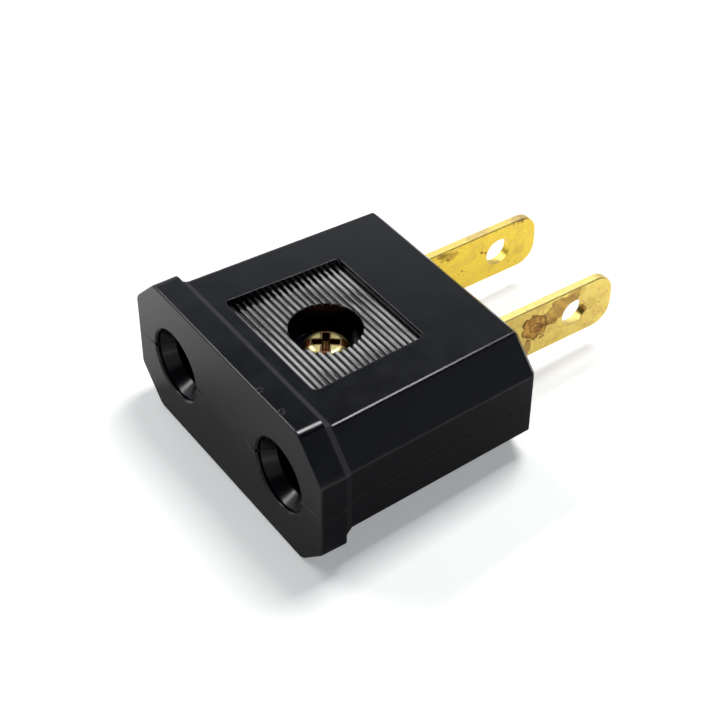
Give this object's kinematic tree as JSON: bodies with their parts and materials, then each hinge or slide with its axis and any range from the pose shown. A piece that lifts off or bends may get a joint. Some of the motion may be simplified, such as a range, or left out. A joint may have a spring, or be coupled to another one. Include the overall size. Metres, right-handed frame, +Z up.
{
  "type": "plug adapter",
  "caption": "Plug adapter: a black two-shell housing with round sockets in front, flat brass blades behind, ribbed grip panels and a clamp screw in a deep well.",
  "frame": {"origin": "centre of the rear face that seats on the wall outlet, midway between the blades, on the parting plane of the two shells", "axes": "+X across the width towards the right-hand blade seen from the sockets, +Y out of the rear face along the blades, +Z up, through the side with the screw well"},
  "size_m": [0.0338, 0.0438, 0.0164],
  "materials": {
    "housing": "moulded, satin to glossy black",
    "blades": "bare brass with brown tarnish",
    "contacts": "bare rolled brass sheet",
    "screw": "brass-plated"
  },
  "bodies": {
    "root": {"upper_shell": "housing", "lower_shell": "housing", "clamp_screw": "screw", "blade_right": "blades", "blade_left": "blades", "contact_right": "contacts", "contact_left": "contacts", "rivet_right": "contacts", "rivet_left": "contacts"}
  },
  "joints": []
}
